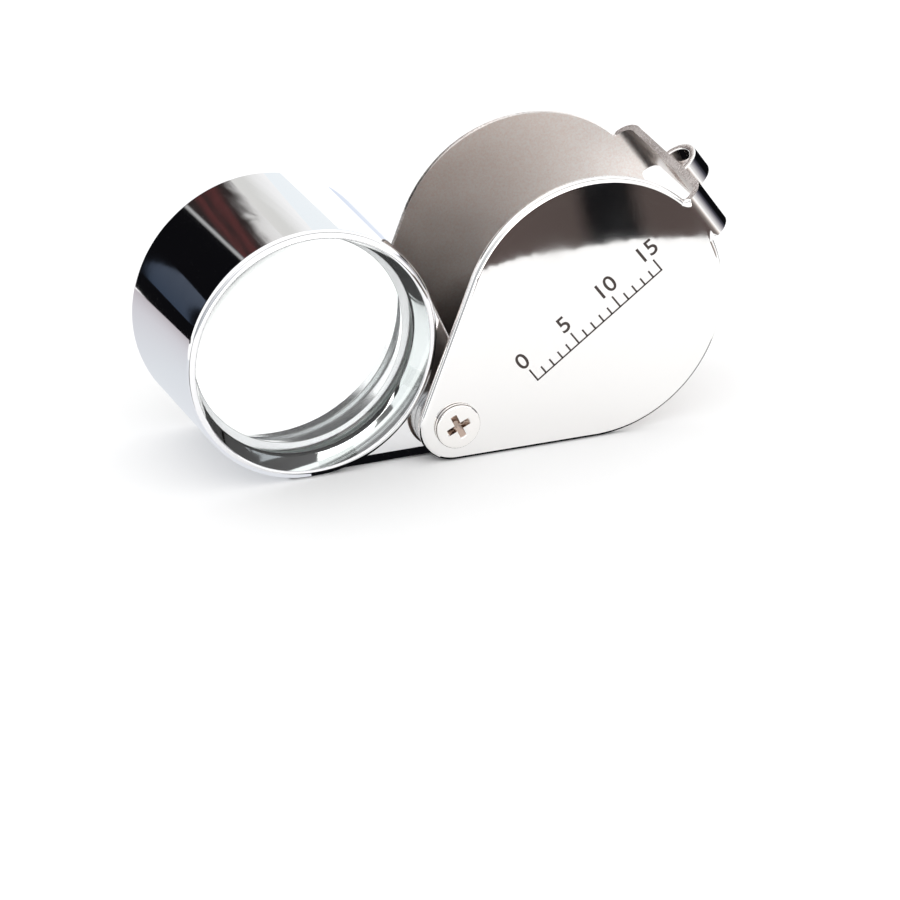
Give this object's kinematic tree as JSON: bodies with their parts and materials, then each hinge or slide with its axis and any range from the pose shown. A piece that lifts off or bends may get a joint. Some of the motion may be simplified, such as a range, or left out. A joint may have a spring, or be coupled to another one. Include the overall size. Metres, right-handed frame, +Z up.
{
  "type": "hand lens",
  "caption": "Pocket folding hand lens: a chromed lens barrel on a lug swings out of a folded sheet-steel cover with a cord loop.",
  "frame": {"origin": "middle of the bounding box in plan, on the surface that the open hand lens stands on", "axes": "+X from the lens barrel towards the cover's bridge, -Y out of the front of the lens along its axis, +Z up"},
  "size_m": [0.0534, 0.0188, 0.0254],
  "materials": {
    "cover_steel": "polished outside, satin inside",
    "housing_chrome": "bright chrome plating",
    "lens_glass": "polished, ground edge",
    "spacer_metal": "bright turned",
    "ring_metal": "bright turned and plated",
    "post_brass": "turned",
    "screw_nickel": "nickel plated",
    "washer_steel": "satin"
  },
  "bodies": {
    "cover": {"cover": "cover_steel", "pivot_post": "post_brass", "front_pivot_screw": "screw_nickel", "rear_pivot_screw": "screw_nickel", "front_washer": "washer_steel", "rear_washer": "washer_steel", "curved_washer": "washer_steel"},
    "lens": {"lens_housing": "housing_chrome", "front_lens": "lens_glass", "lens_spacer": "spacer_metal", "rear_lens": "lens_glass", "retaining_ring": "ring_metal"}
  },
  "joints": [
    {"name": "lens_swing", "type": "hinge", "parent": "cover", "child": "lens", "pos_m": [-0.00145, 0, 0.0035], "axis": [0, 1, 0], "continuous": true}
  ]
}
